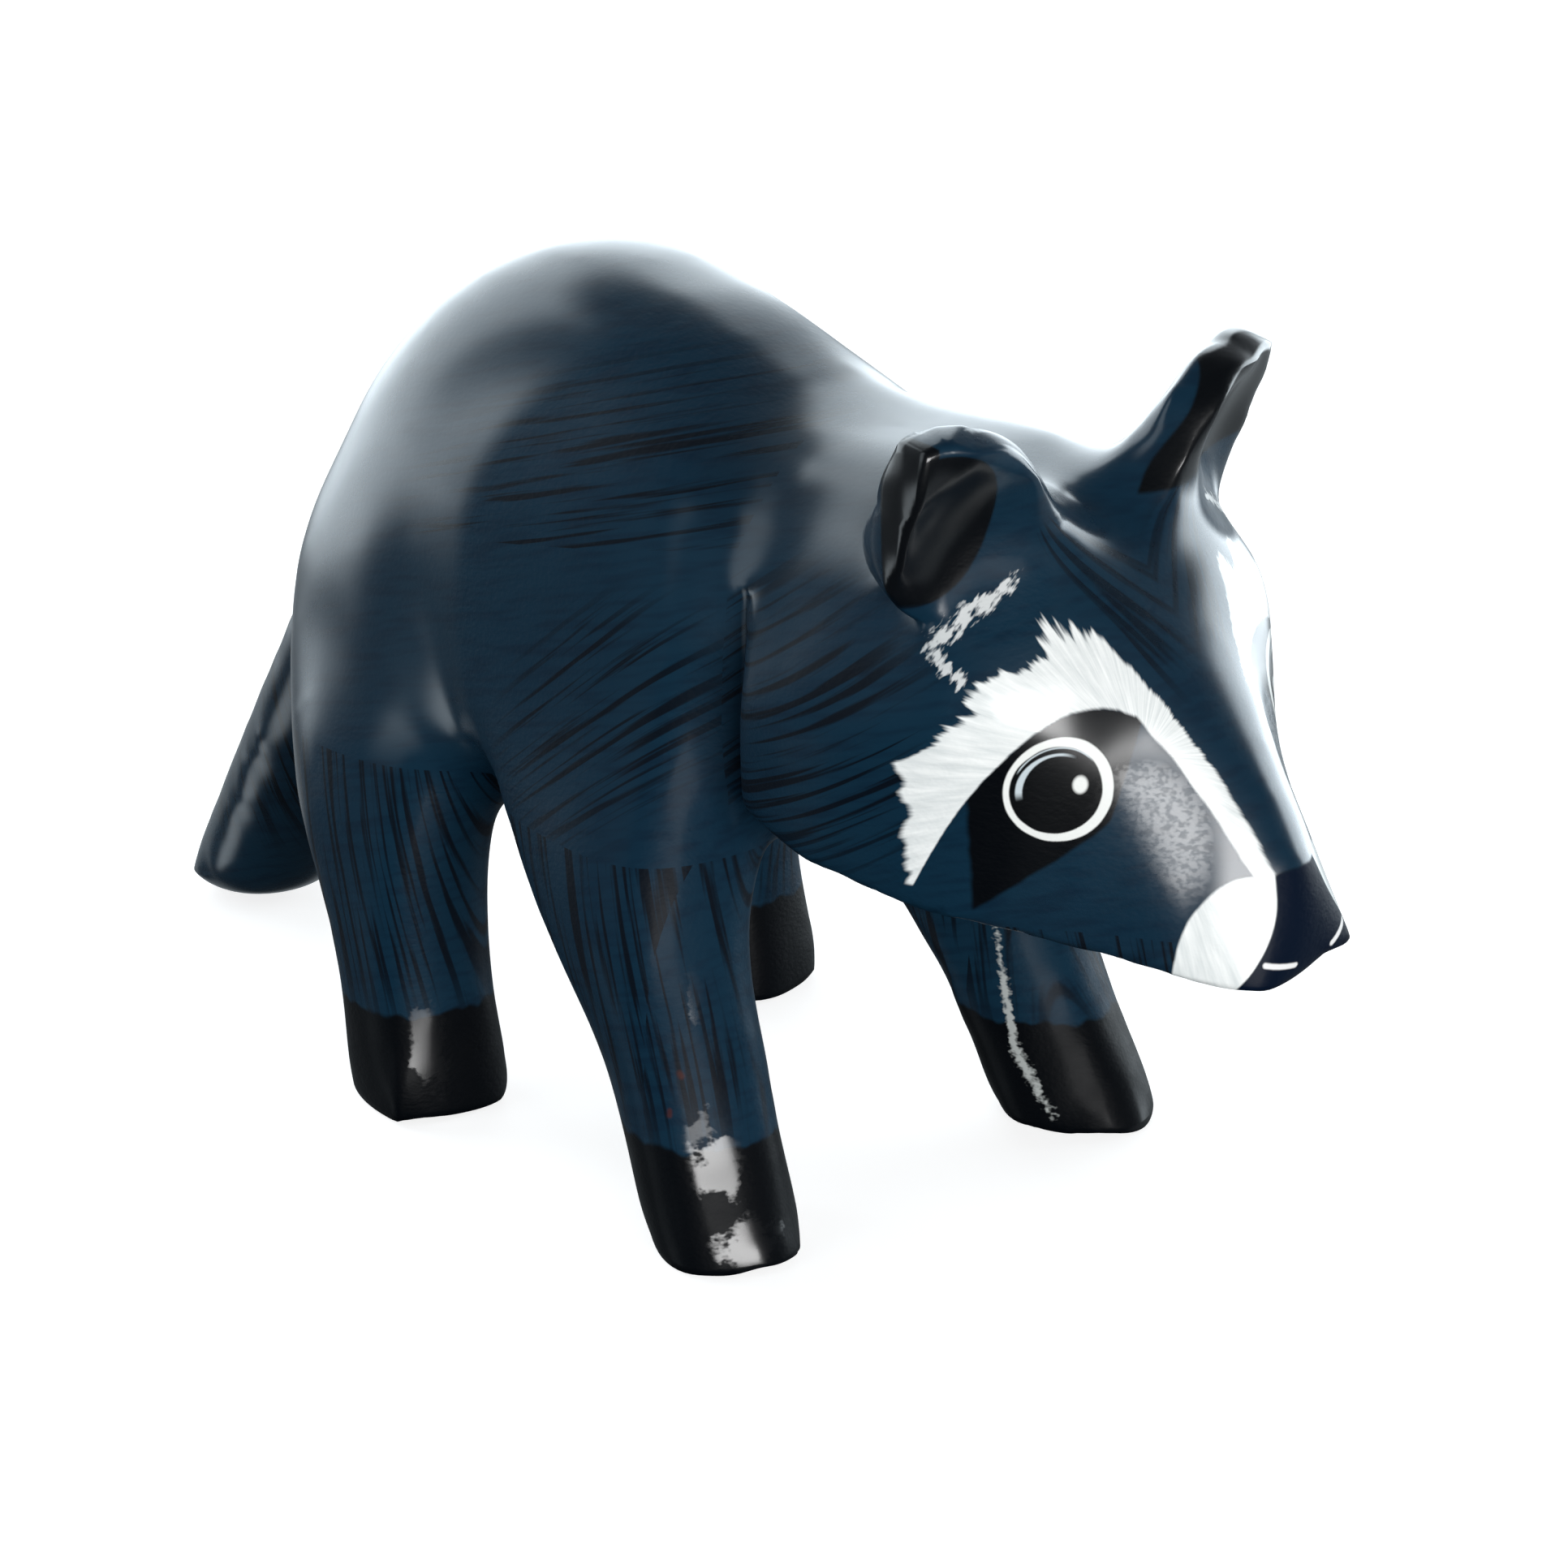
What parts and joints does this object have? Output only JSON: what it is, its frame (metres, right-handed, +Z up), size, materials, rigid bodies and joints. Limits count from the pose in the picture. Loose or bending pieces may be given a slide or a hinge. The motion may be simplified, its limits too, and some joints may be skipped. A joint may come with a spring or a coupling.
{
  "type": "wooden raccoon figurine",
  "caption": "Standing raccoon figurine carved from one piece of wood, with an arched back, wedge head, scooped ears and a drooping tail, painted and varnished.",
  "frame": {"origin": "on the ground, under the middle of the figure's bounding box", "axes": "+Z up, -Y towards the nose, +X towards the animal's left"},
  "size_m": [0.0552, 0.1476, 0.0785],
  "materials": {
    "painted_wood": "slate blue and black paint with white face markings under a gloss varnish"
  },
  "bodies": {
    "root": {"raccoon": "painted_wood"}
  },
  "joints": []
}
